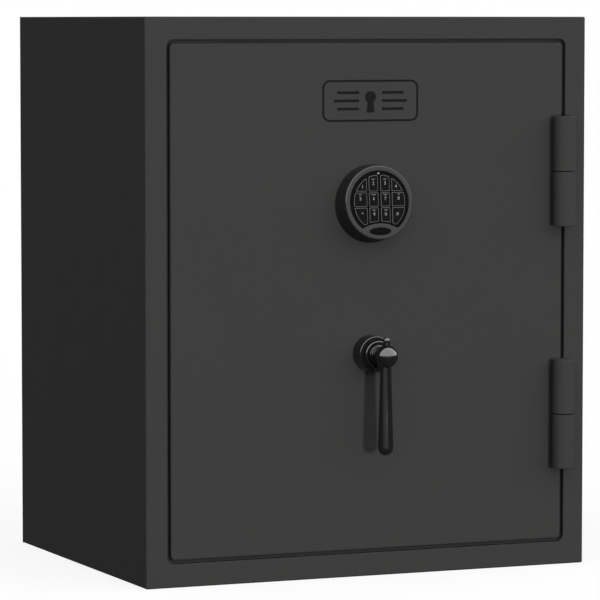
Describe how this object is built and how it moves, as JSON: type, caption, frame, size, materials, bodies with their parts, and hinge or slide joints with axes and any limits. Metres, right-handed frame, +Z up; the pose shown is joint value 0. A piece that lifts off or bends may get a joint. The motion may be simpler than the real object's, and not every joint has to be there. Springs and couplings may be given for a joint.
{
  "type": "gun safe",
  "caption": "Compact fire-lined security safe with an inset door on outside barrel hinges, round key-pad lock, lever handle and sliding locking bolts.",
  "frame": {"origin": "on the floor, under the middle of the body's outside width and depth", "axes": "+Z up, +X to the right as seen from the front, -Y out of the door"},
  "size_m": [0.533, 0.469, 0.622],
  "materials": {
    "body_paint": "satin",
    "jamb_paint": "satin",
    "heat_seal": "matte",
    "fire_board": "matte",
    "carpet": "matte",
    "shelf_board": "matte",
    "standard_steel": "satin",
    "screw_steel": "satin",
    "pin_steel": "satin",
    "washer_brass": "satin",
    "door_paint": "satin",
    "inner_paint": "satin",
    "hardened_steel": "satin",
    "zinc_steel": "satin",
    "bolt_chrome": "polished",
    "door_carpet": "matte",
    "emblem_ink": "satin",
    "handle_black": "gloss",
    "lock_case": "satin",
    "lock_brass": "satin",
    "cable_black": "satin",
    "pad_plastic": "satin",
    "insert_plastic": "satin",
    "led_white": "gloss",
    "battery_case": "satin",
    "key_plastic": "satin"
  },
  "bodies": {
    "safe_body": {"body_shell": "body_paint", "back_panel": "body_paint", "door_jamb": "jamb_paint", "door_seal": "heat_seal", "insulation_boards": "fire_board", "liner_left": "carpet", "liner_right": "carpet", "liner_top": "carpet", "liner_floor": "carpet", "liner_back": "carpet", "shelf_standards": "standard_steel", "standard_screws": "screw_steel", "shelf_clips": "standard_steel", "shelf": "shelf_board", "frame_knuckles": "body_paint", "hinge_pins": "pin_steel", "hinge_washers": "washer_brass"},
    "door": {"door_plate": "door_paint", "door_pan": "inner_paint", "door_insulation": "fire_board", "hard_plate": "hardened_steel", "lock_bracket": "zinc_steel", "bolt_frame": "inner_paint", "guide_studs": "zinc_steel", "dead_bolts": "bolt_chrome", "door_back_cover": "door_carpet", "cover_screws": "screw_steel", "door_emblem": "emblem_ink", "door_knuckles": "door_paint", "handle_rose": "handle_black", "spindle_bush": "washer_brass", "lock_body": "lock_case", "lock_screws": "screw_steel", "lock_cable": "cable_black", "keypad_base": "pad_plastic", "keypad_housing": "pad_plastic", "keypad_insert": "insert_plastic", "keypad_badge": "insert_plastic", "status_led": "led_white", "battery": "battery_case"},
    "handle": {"handle_lever": "handle_black", "handle_hub": "handle_black", "spindle": "pin_steel", "cam_plate": "zinc_steel", "drive_pin": "pin_steel"},
    "boltwork": {"bolt_bar": "zinc_steel", "locking_bolts": "bolt_chrome"},
    "lock_latch": {"lock_bolt": "lock_brass"},
    "key_1": {"key_1": "key_plastic"},
    "key_2": {"key_2": "key_plastic"},
    "key_3": {"key_3": "key_plastic"},
    "key_4": {"key_4": "key_plastic"},
    "key_5": {"key_5": "key_plastic"},
    "key_6": {"key_6": "key_plastic"},
    "key_7": {"key_7": "key_plastic"},
    "key_8": {"key_8": "key_plastic"},
    "key_9": {"key_9": "key_plastic"},
    "key_0": {"key_0": "key_plastic"},
    "key_star": {"key_star": "key_plastic"},
    "key_hash": {"key_hash": "key_plastic"}
  },
  "joints": [
    {"name": "door_swing", "type": "hinge", "parent": "safe_body", "child": "door", "pos_m": [0.234, -0.2192, 0.311], "axis": [0, 0, 1], "range_deg": [0, 180]},
    {"name": "handle_turn", "type": "hinge", "parent": "door", "child": "handle", "pos_m": [0, -0.206, 0.2492], "axis": [0, -1, 0], "range_deg": [0, 90]},
    {"name": "bolt_throw", "type": "slide", "parent": "door", "child": "boltwork", "axis": [-1, 0, 0], "range_m": [0, 0.0254]},
    {"name": "latch_drop", "type": "slide", "parent": "door", "child": "lock_latch", "axis": [0, 0, -1], "range_m": [0, 0.008]},
    {"name": "key_1_press", "type": "slide", "parent": "door", "child": "key_1", "axis": [0, 0.9968, -0.0802], "range_m": [0, 0.0008], "stiffness_N_per_m": 300, "springref_m": -0.0015},
    {"name": "key_2_press", "type": "slide", "parent": "door", "child": "key_2", "axis": [0, 0.9968, -0.0802], "range_m": [0, 0.0008], "stiffness_N_per_m": 300, "springref_m": -0.0015},
    {"name": "key_3_press", "type": "slide", "parent": "door", "child": "key_3", "axis": [0, 0.9968, -0.0802], "range_m": [0, 0.0008], "stiffness_N_per_m": 300, "springref_m": -0.0015},
    {"name": "key_4_press", "type": "slide", "parent": "door", "child": "key_4", "axis": [0, 0.9968, -0.0802], "range_m": [0, 0.0008], "stiffness_N_per_m": 300, "springref_m": -0.0015},
    {"name": "key_5_press", "type": "slide", "parent": "door", "child": "key_5", "axis": [0, 0.9968, -0.0802], "range_m": [0, 0.0008], "stiffness_N_per_m": 300, "springref_m": -0.0015},
    {"name": "key_6_press", "type": "slide", "parent": "door", "child": "key_6", "axis": [0, 0.9968, -0.0802], "range_m": [0, 0.0008], "stiffness_N_per_m": 300, "springref_m": -0.0015},
    {"name": "key_7_press", "type": "slide", "parent": "door", "child": "key_7", "axis": [0, 0.9968, -0.0802], "range_m": [0, 0.0008], "stiffness_N_per_m": 300, "springref_m": -0.0015},
    {"name": "key_8_press", "type": "slide", "parent": "door", "child": "key_8", "axis": [0, 0.9968, -0.0802], "range_m": [0, 0.0008], "stiffness_N_per_m": 300, "springref_m": -0.0015},
    {"name": "key_9_press", "type": "slide", "parent": "door", "child": "key_9", "axis": [0, 0.9968, -0.0802], "range_m": [0, 0.0008], "stiffness_N_per_m": 300, "springref_m": -0.0015},
    {"name": "key_0_press", "type": "slide", "parent": "door", "child": "key_0", "axis": [0, 0.9968, -0.0802], "range_m": [0, 0.0008], "stiffness_N_per_m": 300, "springref_m": -0.0015},
    {"name": "key_star_press", "type": "slide", "parent": "door", "child": "key_star", "axis": [0, 0.9968, -0.0802], "range_m": [0, 0.0008], "stiffness_N_per_m": 300, "springref_m": -0.0015},
    {"name": "key_hash_press", "type": "slide", "parent": "door", "child": "key_hash", "axis": [0, 0.9968, -0.0802], "range_m": [0, 0.0008], "stiffness_N_per_m": 300, "springref_m": -0.0015}
  ],
  "couplings": [
    {"joint": "bolt_throw", "follows": "handle_turn", "m_per_rad": 0.01617},
    {"joint": "latch_drop", "follows": "handle_turn", "m_per_rad": 0.005093}
  ]
}
